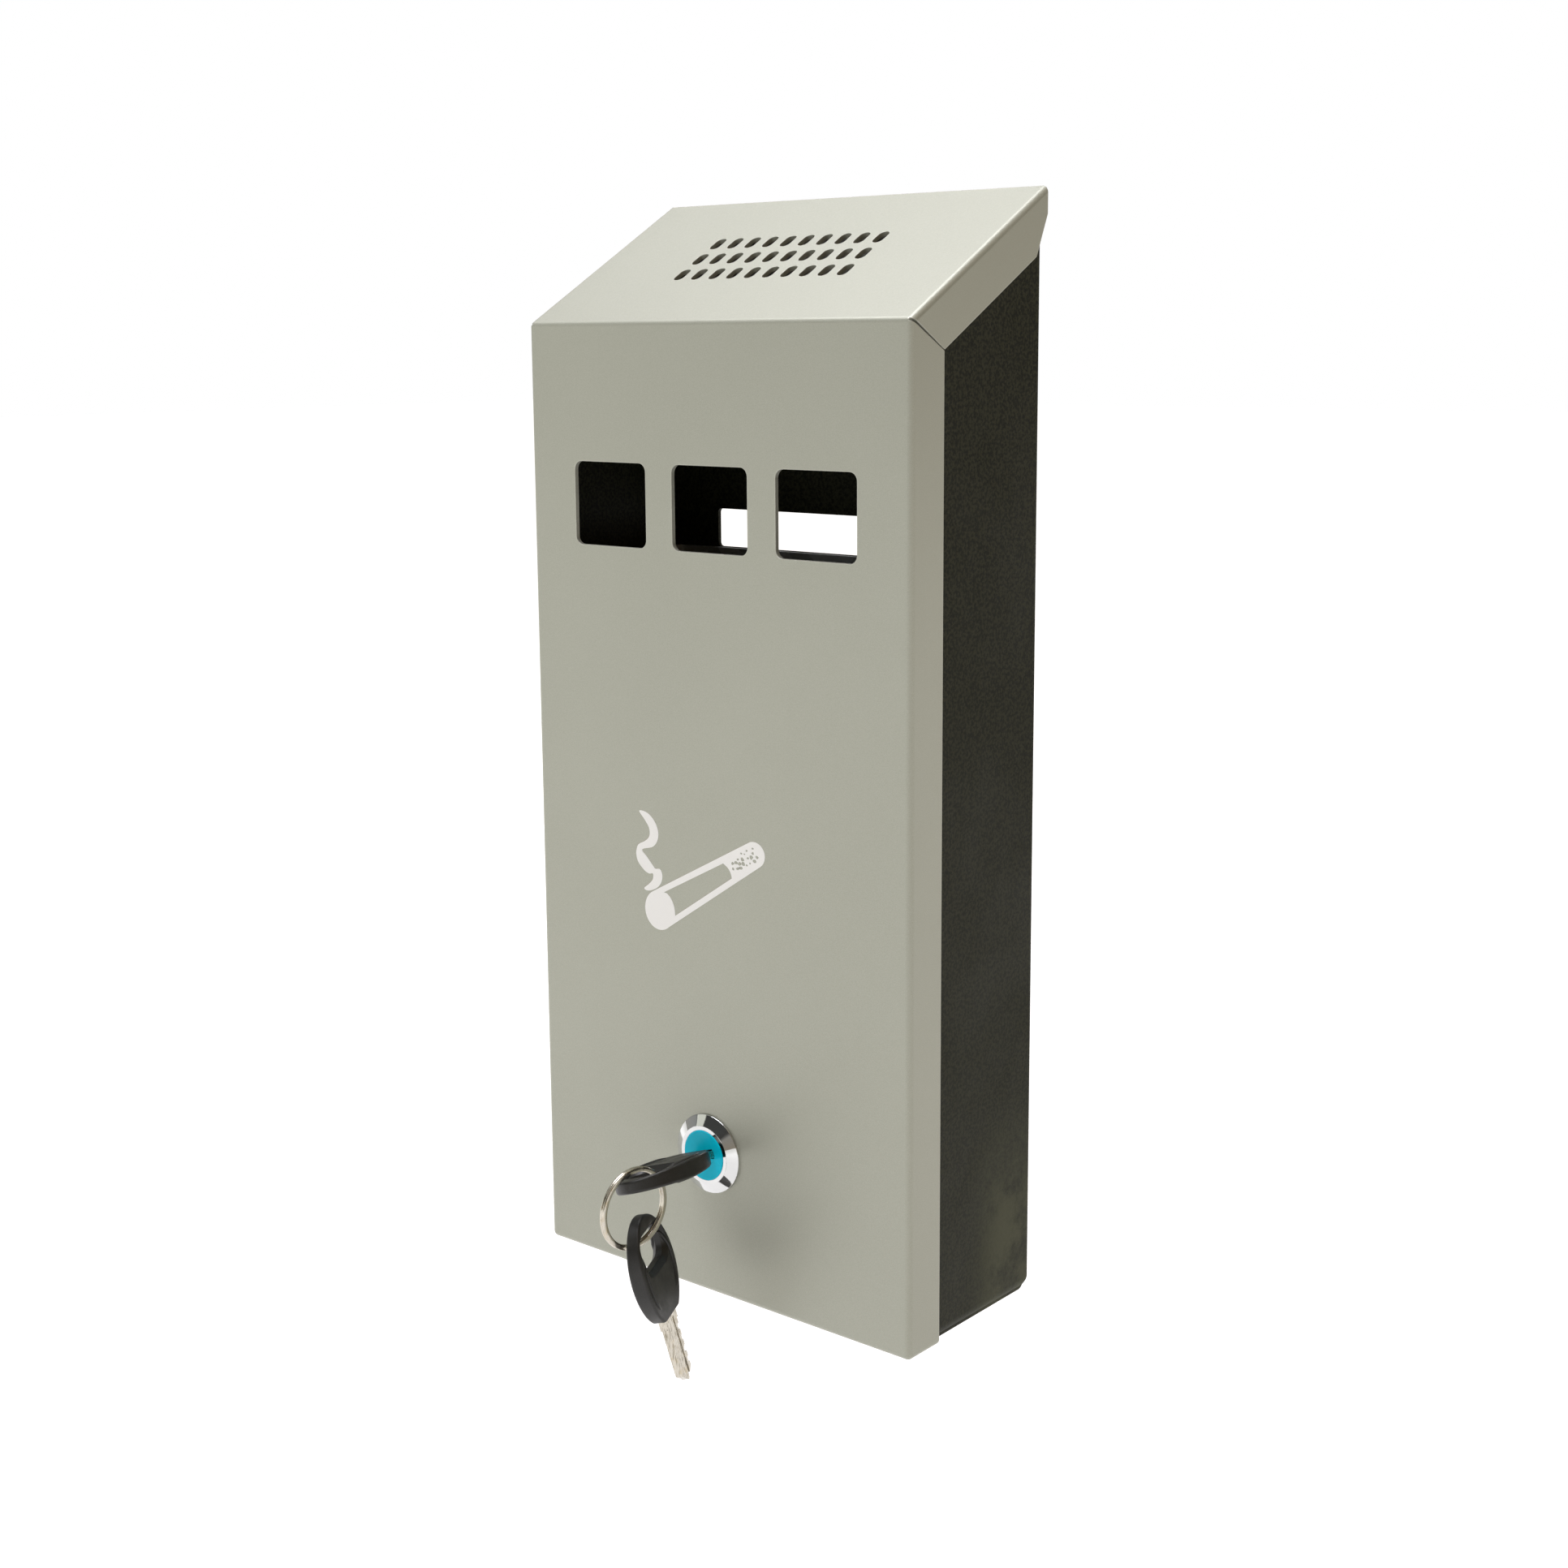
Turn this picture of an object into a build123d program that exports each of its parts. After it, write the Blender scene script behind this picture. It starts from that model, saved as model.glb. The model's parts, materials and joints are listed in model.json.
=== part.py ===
from build123d import *
import os
from math import atan2, cos, radians, sin, sqrt, tan

# Wall-mounted ash bin. Millimetres, +Z up, the front faces -Y, and the wall is the plane y = 0.
# The origin is the centre of the four wall-screw holes.

# Overall sizes
WIDTH = 130.0
DEPTH = 57.5
WALL_GAP = 4.0
BOTTOM_Z = -150.0
FOLD_HEIGHT = 263.0
TOP_SLOPE = 30.0

# Sheet steel
SHEET = 1.2
FOLD_RADIUS = 1.6
FLANGE = 13.0
SIDE_GAP = 0.4
MITRE_GAP_WIDE = 0.7
MITRE_GAP_NARROW = 0.3
FLANGE_STRAIGHT_END = 7.0
FLANGE_END_TAPER = 4.9

# Openings in the cover
WINDOW_WIDTH = 26.0
WINDOW_HEIGHT = 22.5
WINDOW_PITCH = 35.4
WINDOW_HEIGHT_Z = 215.0
WINDOW_CORNER = 2.3
VENT_COLUMNS = 10
VENT_ROWS = 3
VENT_LENGTH = 5.8
VENT_WIDTH = 3.2
VENT_PITCH_X = 6.2
VENT_PITCH_UP = 8.5
VENT_FIRST_ROW = 25.1

# Body
BODY_FRONT_GAP = 0.8
TOP_CLEARANCE = 1.0
BODY_FLOOR_GAP = 0.2
BODY_CORNER = 3.5
FLANGE_RELIEF_HEIGHT = 3.8
BACK_SLOT_WIDTH = 93.2
BACK_SLOT_HEIGHT = 11.0
BACK_SLOT_HEIGHT_Z = 204.5
SCREW_SPACING_X = 70.0
SCREW_SPACING_Z = 180.0
SCREW_HOLE_R = 2.75
BOSS_BASE_R = 11.0
BOSS_FACE_R = 8.0
PANEL_FLANGE = 8.0
PANEL_CLEAR = 0.9

# Hinge along the top rear edge
HINGE_HALF_LENGTH = 55.0
HINGE_SETBACK = 2.5
KNUCKLE_COUNT = 5
KNUCKLE_GAP = 0.4
KNUCKLE_R = 2.1
KNUCKLE_BORE_R = 1.05
HINGE_PIN_R = 1.0
PIN_HEAD_R = 1.8
PIN_HEAD_LENGTH = 1.2
HINGE_CLEARANCE = 0.35
LEAF = 1.0
LEAF_LENGTH = 13.0
RIVET_SHANK_R = 1.5
RIVET_HEAD_R = 2.8
RIVET_HEAD_HEIGHT = 1.0
RIVET_CROWN = 0.6
HINGE_RIVETS = 4
HINGE_RIVET_REACH = 44.0

# Ash container
BUCKET_SHEET = 0.8
BUCKET_HALF_WIDTH = 60.0
BUCKET_TOP = 199.0
BUCKET_FLOOR = 1.9
BUCKET_FRONT_GAP = 2.5
BUCKET_BACK_GAP = 2.0
BUCKET_STEP_LOW = 60.0
BUCKET_STEP_HIGH = 84.0
BUCKET_STEP_DEPTH = 26.0
BUCKET_RIM = 5.0
BUCKET_CORNER = 3.0

# Cam lock
LOCK_X = -2.8
LOCK_HEIGHT = 40.2
BEZEL_R = 11.0
BEZEL_RIM = 0.6
BEZEL_FACE_R = 8.1
BEZEL_HEIGHT = 2.2
HOUSING_R = 9.0
HOUSING_FLATS = 16.0
HOUSING_LENGTH = 18.0
LOCK_HOLE_CLEAR = 0.2
PLUG_HEAD_R = 6.9
PLUG_R = 6.0
PLUG_CLEAR = 0.06
INSERT_THICKNESS = 1.2
INSERT_PROUD = 0.2
PLUG_HEAD_DEPTH = 1.4
KEYWAY_WIDTH = 7.4
KEYWAY_HEIGHT = 2.6
PLUG_SQUARE = 7.0
PLUG_SQUARE_LENGTH = 2.2
KEYWAY_SPARE = 0.8
SCREW_HOLE_START = 1.2
WASHER_R = 12.5
WASHER_THICKNESS = 0.8
NUT_ACROSS_FLATS = 24.0
NUT_THICKNESS = 4.0
CAM_THICKNESS = 2.0
CAM_GAP = 0.3
CAM_LENGTH = 22.0
CAM_WIDTH = 12.0
CAM_HUB_R = 8.0
CAM_WASHER_R = 6.0
CAM_WASHER_THICKNESS = 0.8
CAM_SCREW_R = 2.0
CAM_SCREW_HEAD_R = 3.8
CAM_SCREW_HEAD = 2.2
CAM_SCREW_CROWN = 1.0
KEY_TURN = 20.0

# Catch that the cam turns behind
STRIKE_THICKNESS = 1.5
STRIKE_WIDTH = 24.0
STRIKE_TOP = 26.0
STRIKE_CAM_GAP = 0.5
STRIKE_FOOT = 7.4

# Keys
BOW_LENGTH = 28.0
BOW_WIDTH = 21.0
BOW_NECK_WIDTH = 11.0
BOW_THICKNESS = 4.6
BOW_END_THICKNESS = 3.2
BOW_NECK_THICKNESS = 4.0
BOW_EDGE = 0.7
BOW_BAR = 4.4
BOW_SLOT_LENGTH = 14.0
BOW_SLOT_WIDTH = 9.5
BOW_SLOT_CORNER = 3.2
BOW_SLOT_LAND = 1.8
BOW_SLOT_TAPER = 45.0
KEY_SHOULDER = 3.2
KEY_SHOULDER_WIDTH = 8.0
BLADE_LENGTH = 16.5
BLADE_WIDTH = 6.6
BLADE_THICKNESS = 2.0
BLADE_TANG = 10.0
BLADE_TANG_WIDTH = 6.0
BLADE_TIP = 2.6
BLADE_GROOVE_WIDTH = 1.0
BLADE_GROOVE_DEPTH = 0.4
BIT_DEPTHS = (0.9, 0.5, 1.1, 0.7)
BIT_PITCH = 3.2
BIT_START = 2.4
BIT_WIDTH = 1.5

# Key ring
RING_R = 10.35
RING_WIRE_R = 0.8
RING_YAW = 5.0
RING_FROM_LOCK_Z = -6.3
RING_OFFSET_Y = 1.4

# Spare key, hanging in the ring
SPARE_YAW = -22.0
SPARE_LEAN_SIDE = 11.0
SPARE_LEAN_BACK = 10.0
SPARE_HANG_GAP = 1.3
SPARE_RING_ANGLE = 20.0

# Values that follow from the sizes above
SLOPE = radians(TOP_SLOPE)
REAR_Y = -WALL_GAP
FRONT_Y = REAR_Y - DEPTH
FOLD_Z = BOTTOM_Z + FOLD_HEIGHT
TOP_Z = FOLD_Z + DEPTH * tan(SLOPE)
BODY_OUTER_X = WIDTH / 2 - SHEET - SIDE_GAP
BODY_INNER_X = BODY_OUTER_X - SHEET
BACK_FRONT_Y = REAR_Y - SHEET
HINGE_Y = REAR_Y - HINGE_SETBACK
HINGE_DROP = SHEET + KNUCKLE_R + HINGE_CLEARANCE
HINGE_Z = TOP_Z - HINGE_SETBACK * tan(SLOPE) - HINGE_DROP / cos(SLOPE)
CORNER_SWING_R = sqrt(HINGE_SETBACK**2 + (TOP_Z - HINGE_Z) ** 2)
LOCK_Z = BOTTOM_Z + LOCK_HEIGHT
LOCK_FACE_Y = FRONT_Y - BEZEL_HEIGHT
HOUSING_REAR_Y = FRONT_Y + HOUSING_LENGTH
CAM_FRONT_Y = HOUSING_REAR_Y + CAM_GAP
CAM_REAR_Y = CAM_FRONT_Y + CAM_THICKNESS
KEYWAY_END_Y = LOCK_FACE_Y - INSERT_PROUD + BLADE_LENGTH + KEYWAY_SPARE
SCREW_END_Y = KEYWAY_END_Y + SCREW_HOLE_START
STRIKE_REAR_Y = CAM_FRONT_Y - STRIKE_CAM_GAP
STRIKE_FRONT_Y = STRIKE_REAR_Y - STRIKE_THICKNESS
FLOOR_Z = BOTTOM_Z + BODY_FLOOR_GAP
FLOOR_TOP_Z = FLOOR_Z + SHEET
PANEL_FRONT_Y = FRONT_Y + FLANGE + PANEL_CLEAR

TOP_PLANE = Plane(
    origin=(0, FRONT_Y, FOLD_Z), x_dir=(1, 0, 0), z_dir=(0, -sin(SLOPE), cos(SLOPE))
)


def top_line(y, below=0.0):
    """Height of the sloping top at y, or of the line `below` it, measured square to the slope."""
    return FOLD_Z + (y - FRONT_Y) * tan(SLOPE) - below / cos(SLOPE)


def prism(points, half_width):
    """Side outline in (y, z), extruded to the same distance each side of x = 0."""
    return extrude(Plane.YZ * Polygon(*points, align=None), half_width, both=True)


def span(x0, x1, y0, y1, z0, z1):
    """Box between two corners."""
    middle = Pos((x0 + x1) / 2, (y0 + y1) / 2, (z0 + z1) / 2)
    return middle * Box(abs(x1 - x0), abs(y1 - y0), abs(z1 - z0))


def rod_y(x, z, radius, y0, y1):
    """Round bar along Y."""
    return Pos(x, (y0 + y1) / 2, z) * Rot(90, 0, 0) * Cylinder(radius, abs(y1 - y0))


def rod_x(y, z, radius, x0, x1):
    """Round bar along X."""
    return Pos((x0 + x1) / 2, y, z) * Rot(0, 90, 0) * Cylinder(radius, abs(x1 - x0))


def rod_z(x, y, radius, z0, z1):
    """Round bar along Z."""
    return Pos(x, y, (z0 + z1) / 2) * Cylinder(radius, abs(z1 - z0))


def shell_outline(inset):
    """Side outline of the cover, moved in by `inset` from the bottom, front and top."""
    front = FRONT_Y + inset
    rear = REAR_Y
    return [
        (front, BOTTOM_Z + inset),
        (rear, BOTTOM_Z + inset),
        (rear, top_line(rear, inset)),
        (front, top_line(front, inset)),
    ]


# ---------------------------------------------------------------- cover


def folded_cover_blank():
    """Hollow folded shape of the cover, before its flanges are cut to width."""
    block = prism(shell_outline(0), WIDTH / 2)
    rear = block.faces().sort_by(Axis.Y)[-1]
    folds = [e for e in block.edges() if e not in rear.edges()]
    block = fillet(folds, FOLD_RADIUS)
    inner = shell_outline(SHEET)
    inner[1] = (REAR_Y + SHEET, inner[1][1])
    inner[2] = (REAR_Y + SHEET, top_line(REAR_Y + SHEET, SHEET))
    return block - prism(inner, WIDTH / 2 - SHEET)


def flange_trim():
    """Everything behind the cover's flanges."""
    inner_front = FRONT_Y + FLANGE
    taper_y = REAR_Y - FLANGE_END_TAPER
    behind = REAR_Y + 2 * SHEET
    outline = [
        (inner_front, BOTTOM_Z - SHEET),
        (behind, BOTTOM_Z - SHEET),
        (behind, TOP_Z - FLANGE_STRAIGHT_END),
        (REAR_Y, TOP_Z - FLANGE_STRAIGHT_END),
        (taper_y, top_line(taper_y, FLANGE)),
        (inner_front, top_line(inner_front, FLANGE)),
    ]
    return prism(outline, WIDTH)


def mitre_gaps():
    """Thin wedge-shaped gaps where the front and top side flanges meet at the fold."""
    half = SLOPE
    along = Vector(0, cos(half), -sin(half))
    across = Vector(0, sin(half), cos(half))
    corner = Vector(0, FRONT_Y, FOLD_Z)
    start = corner - along * MITRE_GAP_WIDE
    end = corner + along * (FLANGE / cos(half) + MITRE_GAP_WIDE)
    corners = [
        start + across * (MITRE_GAP_WIDE / 2),
        start - across * (MITRE_GAP_WIDE / 2),
        end - across * (MITRE_GAP_NARROW / 2),
        end + across * (MITRE_GAP_NARROW / 2),
    ]
    wedge = prism([(c.Y, c.Z) for c in corners], WIDTH)
    keep = Box(2 * (WIDTH / 2 - SHEET), 4 * DEPTH, 4 * FOLD_HEIGHT)
    return wedge - keep


def windows():
    """Drop openings in a row across the front."""
    face = Plane((0, FRONT_Y, BOTTOM_Z + WINDOW_HEIGHT_Z), x_dir=(1, 0, 0), z_dir=(0, -1, 0))
    shapes = []
    for column in (-1, 0, 1):
        outline = RectangleRounded(WINDOW_WIDTH, WINDOW_HEIGHT, WINDOW_CORNER)
        shapes.append(face * Pos(column * WINDOW_PITCH, 0) * outline)
    return [extrude(shape, 3 * SHEET, both=True) for shape in shapes]


def vents():
    """Rows of slots through the sloping top."""
    slots = []
    for row in range(VENT_ROWS):
        for column in range(VENT_COLUMNS):
            x = (column - (VENT_COLUMNS - 1) / 2) * VENT_PITCH_X
            up = VENT_FIRST_ROW + row * VENT_PITCH_UP
            outline = TOP_PLANE * Pos(x, up) * SlotOverall(VENT_LENGTH, VENT_WIDTH, rotation=90)
            slots.append(extrude(outline, 3 * SHEET, both=True))
    return slots


def double_d(radius, flats, y0, y1):
    """Round bar along the lock's axis with two flats."""
    bar = rod_y(LOCK_X, LOCK_Z, radius, y0, y1)
    return bar & span(
        LOCK_X - flats / 2, LOCK_X + flats / 2, y0, y1, LOCK_Z - radius, LOCK_Z + radius
    )


def front_cover():
    """Folded front, sloping top and flanges in one sheet."""
    cover = folded_cover_blank() - flange_trim() - mitre_gaps()
    cover -= windows()
    cover -= vents()
    hole = double_d(
        HOUSING_R + LOCK_HOLE_CLEAR,
        HOUSING_FLATS + 2 * LOCK_HOLE_CLEAR,
        FRONT_Y - SHEET,
        FRONT_Y + 2 * SHEET,
    )
    return cover - hole


# ---------------------------------------------------------------- body


def back_body():
    """Folded back and side walls, with screw bosses and the long slot in the back."""
    front = FRONT_Y + SHEET + BODY_FRONT_GAP
    below = SHEET + TOP_CLEARANCE
    relief_y = PANEL_FRONT_Y
    outline = [
        (front, FLOOR_Z + FLANGE_RELIEF_HEIGHT),
        (relief_y, FLOOR_Z + FLANGE_RELIEF_HEIGHT),
        (relief_y, FLOOR_Z),
        (REAR_Y, FLOOR_Z),
        (REAR_Y, top_line(REAR_Y, below)),
        (front, top_line(front, below)),
    ]
    block = prism(outline, BODY_OUTER_X)
    back_corners = block.edges().filter_by(Axis.Z).group_by(Axis.Y)[-1]
    block = fillet(back_corners, FOLD_RADIUS)
    foot = block.edges().filter_by(Axis.X).group_by(Axis.Z)[0].sort_by(Axis.Y)[-1]
    block = fillet(foot, BODY_CORNER)
    hollow = span(
        -BODY_INNER_X, BODY_INNER_X, front - SHEET, BACK_FRONT_Y, FLOOR_Z - SHEET, TOP_Z + SHEET
    )
    body = block - hollow
    body -= rod_x(HINGE_Y, HINGE_Z, CORNER_SWING_R + SIDE_GAP, -WIDTH / 2, WIDTH / 2)
    slot_plane = Plane(
        (0, REAR_Y, BOTTOM_Z + BACK_SLOT_HEIGHT_Z), x_dir=(1, 0, 0), z_dir=(0, -1, 0)
    )
    slot = slot_plane * RectangleRounded(BACK_SLOT_WIDTH, BACK_SLOT_HEIGHT, SHEET)
    body -= extrude(slot, 3 * SHEET, both=True)
    for x in (-SCREW_SPACING_X / 2, SCREW_SPACING_X / 2):
        for z in (-SCREW_SPACING_Z / 2, SCREW_SPACING_Z / 2):
            body = add_boss(body, x, z)
    for x, z in body_hinge_rivet_places():
        body -= rod_y(x, z, RIVET_SHANK_R, BACK_FRONT_Y - SHEET, REAR_Y + SHEET)
    return body


def add_boss(body, x, z):
    """Pressed boss that stands the back off the wall, with its screw hole."""
    height = WALL_GAP
    face = Plane((x, REAR_Y, z), x_dir=(1, 0, 0), z_dir=(0, 1, 0))
    outer = face * Pos(0, 0, height / 2) * Cone(BOSS_BASE_R, BOSS_FACE_R, height)
    inner = (
        face
        * Pos(0, 0, height / 2 - SHEET)
        * Cone(BOSS_BASE_R - SHEET, BOSS_FACE_R - SHEET, height)
    )
    body = body + outer - inner
    return body - rod_y(x, z, SCREW_HOLE_R, REAR_Y - height, height)


def bottom_panel():
    """Floor of the body, a tray with turned-up edges."""
    depth_front = PANEL_FRONT_Y
    depth_rear = BACK_FRONT_Y
    tray = span(
        -BODY_INNER_X,
        BODY_INNER_X,
        depth_front,
        depth_rear,
        FLOOR_Z,
        FLOOR_TOP_Z + PANEL_FLANGE,
    )
    rear_foot = tray.edges().filter_by(Axis.X).group_by(Axis.Z)[0].sort_by(Axis.Y)[-1]
    tray = fillet(rear_foot, BODY_CORNER - SHEET)
    hollow = span(
        -BODY_INNER_X + SHEET,
        BODY_INNER_X - SHEET,
        depth_front + SHEET,
        depth_rear - SHEET,
        FLOOR_TOP_Z,
        FLOOR_TOP_Z + 2 * PANEL_FLANGE,
    )
    tray -= hollow
    for x, y in strike_rivet_places():
        tray -= rod_z(x, y, RIVET_SHANK_R, FLOOR_Z - SHEET, FLOOR_TOP_Z + SHEET)
    return tray


def strike_rivet_places():
    """Centres of the catch's rivets."""
    y = STRIKE_REAR_Y + STRIKE_FOOT / 2
    return [(LOCK_X + side * STRIKE_WIDTH / 3, y) for side in (-1, 1)]


def strike_bracket():
    """Angle bracket that the cam turns behind."""
    left = LOCK_X - STRIKE_WIDTH / 2
    right = LOCK_X + STRIKE_WIDTH / 2
    blade = span(
        left, right, STRIKE_FRONT_Y, STRIKE_REAR_Y, FLOOR_TOP_Z, BOTTOM_Z + STRIKE_TOP
    )
    corners = blade.edges().filter_by(Axis.Y).group_by(Axis.Z)[-1]
    blade = fillet(corners, FOLD_RADIUS)
    foot = span(
        left,
        right,
        STRIKE_FRONT_Y,
        STRIKE_REAR_Y + STRIKE_FOOT,
        FLOOR_TOP_Z,
        FLOOR_TOP_Z + STRIKE_THICKNESS,
    )
    bracket = blade + foot
    for x, y in strike_rivet_places():
        bracket -= rod_z(x, y, RIVET_SHANK_R, FLOOR_Z, FLOOR_TOP_Z + 2 * STRIKE_THICKNESS)
    return bracket


def strike_rivets():
    """Rivets through the catch's foot, flush with the underside of the floor."""
    rivets = []
    top = FLOOR_TOP_Z + STRIKE_THICKNESS
    for x, y in strike_rivet_places():
        shank = rod_z(x, y, RIVET_SHANK_R, FLOOR_Z, top)
        head = rod_z(x, y, RIVET_HEAD_R, top, top + RIVET_HEAD_HEIGHT)
        head = fillet(head.edges().group_by(Axis.Z)[-1], RIVET_CROWN)
        rivets.append(shank + head)
    return Compound(children=rivets)


# ---------------------------------------------------------------- hinge


def knuckle_spans():
    """Ends of each knuckle along X."""
    step = 2 * HINGE_HALF_LENGTH / KNUCKLE_COUNT
    spans = []
    for index in range(KNUCKLE_COUNT):
        start = -HINGE_HALF_LENGTH + index * step
        spans.append((start + KNUCKLE_GAP / 2, start + step - KNUCKLE_GAP / 2))
    return spans


def body_hinge_rivet_places():
    """Centres of the rivets in the hinge's body leaf."""
    z = HINGE_Z - KNUCKLE_R - LEAF_LENGTH / 2
    pitch = 2 * HINGE_RIVET_REACH / (HINGE_RIVETS - 1)
    return [(index * pitch - HINGE_RIVET_REACH, z) for index in range(HINGE_RIVETS)]


def body_hinge_leaf():
    """Leaf on the back wall, with the outer and middle knuckles."""
    rear = BACK_FRONT_Y
    low = HINGE_Z - KNUCKLE_R - LEAF_LENGTH
    high = HINGE_Z - KNUCKLE_R - KNUCKLE_GAP
    leaf = span(-HINGE_HALF_LENGTH, HINGE_HALF_LENGTH, rear - LEAF, rear, low, high)
    for x0, x1 in knuckle_spans()[::2]:
        leaf += span(x0, x1, rear - LEAF, rear, high - LEAF, HINGE_Z)
        leaf += rod_x(HINGE_Y, HINGE_Z, KNUCKLE_R, x0, x1)
    leaf -= rod_x(HINGE_Y, HINGE_Z, KNUCKLE_BORE_R, -WIDTH, WIDTH)
    for x, z in body_hinge_rivet_places():
        leaf -= rod_y(x, z, RIVET_SHANK_R, rear - 2 * LEAF, rear + LEAF)
    return leaf


def body_hinge_rivets():
    """Rivets through the back wall and the body leaf."""
    rivets = []
    for x, z in body_hinge_rivet_places():
        shank = rod_y(x, z, RIVET_SHANK_R, BACK_FRONT_Y - LEAF, REAR_Y)
        front = rod_y(
            x, z, RIVET_HEAD_R, BACK_FRONT_Y - LEAF - RIVET_HEAD_HEIGHT, BACK_FRONT_Y - LEAF
        )
        front = fillet(front.edges().group_by(Axis.Y)[0], RIVET_CROWN)
        rear = rod_y(x, z, RIVET_HEAD_R, REAR_Y, REAR_Y + RIVET_HEAD_HEIGHT)
        rear = fillet(rear.edges().group_by(Axis.Y)[-1], RIVET_CROWN)
        rivets.append(shank + front + rear)
    return Compound(children=rivets)


def cover_hinge_leaf():
    """Leaf welded under the sloping top, with the knuckles between the body's."""
    plane = Plane(
        (0, HINGE_Y, HINGE_Z), x_dir=(1, 0, 0), z_dir=(0, -sin(SLOPE), cos(SLOPE))
    )
    top = KNUCKLE_R + HINGE_CLEARANCE
    middle = top - LEAF / 2
    start = KNUCKLE_R + 2 * KNUCKLE_GAP
    length = LEAF_LENGTH - start
    leaf = plane * Pos(0, -start - length / 2, middle) * Box(
        2 * HINGE_HALF_LENGTH, length, LEAF
    )
    for x0, x1 in knuckle_spans()[1::2]:
        centre = (x0 + x1) / 2
        arm = start + LEAF
        leaf += plane * Pos(centre, -arm / 2, middle) * Box(x1 - x0, arm, LEAF)
        leaf += rod_x(HINGE_Y, HINGE_Z, KNUCKLE_R, x0, x1)
        web = top - LEAF / 2
        leaf += plane * Pos(centre, -KNUCKLE_R / 2, web / 2 + KNUCKLE_BORE_R / 2) * Box(
            x1 - x0, KNUCKLE_R, web - KNUCKLE_BORE_R
        )
    return leaf - rod_x(HINGE_Y, HINGE_Z, KNUCKLE_BORE_R, -WIDTH, WIDTH)


def hinge_pin():
    """Pin through all the knuckles, headed at both ends."""
    end = HINGE_HALF_LENGTH
    pin = rod_x(HINGE_Y, HINGE_Z, HINGE_PIN_R, -end, end)
    for side in (-1, 1):
        pin += rod_x(HINGE_Y, HINGE_Z, PIN_HEAD_R, side * end, side * (end + PIN_HEAD_LENGTH))
    return pin


# ---------------------------------------------------------------- ash container


def bucket_outline(inset):
    """Side outline of the container, stepped at the front to pass behind the lock."""
    front = FRONT_Y + SHEET + BUCKET_FRONT_GAP + inset
    rear = BACK_FRONT_Y - BUCKET_BACK_GAP - inset
    step_front = FRONT_Y + BUCKET_STEP_DEPTH + inset
    floor = BOTTOM_Z + BUCKET_FLOOR + inset
    rise = atan2(BUCKET_STEP_HIGH - BUCKET_STEP_LOW, step_front - front)
    lift = inset * tan(rise / 2)
    return [
        (step_front, floor),
        (rear, floor),
        (rear, BOTTOM_Z + BUCKET_TOP),
        (front, BOTTOM_Z + BUCKET_TOP),
        (front, BOTTOM_Z + BUCKET_STEP_HIGH + lift),
        (step_front, BOTTOM_Z + BUCKET_STEP_LOW + lift),
    ]


def inner_bucket():
    """Lift-out ash container of folded sheet, with a hemmed rim."""
    block = prism(bucket_outline(0), BUCKET_HALF_WIDTH)
    block = fillet(block.edges().filter_by(Axis.Z), BUCKET_CORNER)
    inner = bucket_outline(BUCKET_SHEET)
    inner[2] = (inner[2][0], inner[2][1] + BUCKET_SHEET)
    inner[3] = (inner[3][0], inner[3][1] + BUCKET_SHEET)
    hollow = prism(inner, BUCKET_HALF_WIDTH - BUCKET_SHEET)
    hollow = fillet(hollow.edges().filter_by(Axis.Z), BUCKET_CORNER - BUCKET_SHEET)
    bucket = block - hollow
    return bucket + bucket_rim()


def bucket_rim():
    """Sheet folded over outwards round the mouth."""
    front = FRONT_Y + SHEET + BUCKET_FRONT_GAP
    rear = BACK_FRONT_Y - BUCKET_BACK_GAP
    low = BOTTOM_Z + BUCKET_TOP - BUCKET_RIM
    high = BOTTOM_Z + BUCKET_TOP
    hem = BUCKET_SHEET
    outer = span(
        -BUCKET_HALF_WIDTH - hem, BUCKET_HALF_WIDTH + hem, front - hem, rear + hem, low, high
    )
    outer = fillet(outer.edges().filter_by(Axis.Z), BUCKET_CORNER + hem)
    inner = span(
        -BUCKET_HALF_WIDTH + hem / 2,
        BUCKET_HALF_WIDTH - hem / 2,
        front + hem / 2,
        rear - hem / 2,
        low - hem,
        high + hem,
    )
    inner = fillet(inner.edges().filter_by(Axis.Z), BUCKET_CORNER - hem / 2)
    return outer - inner


# ---------------------------------------------------------------- lock


def lock_housing():
    """Chromed housing with a conical bezel and flats on its threaded body."""
    body = double_d(HOUSING_R, HOUSING_FLATS, FRONT_Y - BEZEL_RIM, HOUSING_REAR_Y)
    profile = Polygon(
        (0, 0),
        (BEZEL_R, 0),
        (BEZEL_R, BEZEL_RIM),
        (BEZEL_FACE_R, BEZEL_HEIGHT),
        (0, BEZEL_HEIGHT),
        align=None,
    )
    axis_plane = Plane((LOCK_X, FRONT_Y, LOCK_Z), x_dir=(1, 0, 0), z_dir=(0, 0, 1))
    turned = axis_plane * mirror(profile, about=Plane.XZ)
    bezel = revolve(turned, Axis((LOCK_X, FRONT_Y, LOCK_Z), (0, 1, 0)))
    housing = body + bezel
    head_rear = LOCK_FACE_Y + INSERT_THICKNESS + PLUG_HEAD_DEPTH
    housing -= rod_y(
        LOCK_X, LOCK_Z, PLUG_HEAD_R + PLUG_CLEAR, LOCK_FACE_Y - SHEET, head_rear + PLUG_CLEAR
    )
    return housing - rod_y(
        LOCK_X, LOCK_Z, PLUG_R + PLUG_CLEAR, LOCK_FACE_Y, HOUSING_REAR_Y + SHEET
    )


def keyway(y0, y1):
    """Slot for the blade, turned to the key's angle."""
    slot = Box(KEYWAY_WIDTH, abs(y1 - y0), KEYWAY_HEIGHT)
    return Pos(LOCK_X, (y0 + y1) / 2, LOCK_Z) * Rot(0, -KEY_TURN, 0) * slot


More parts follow.
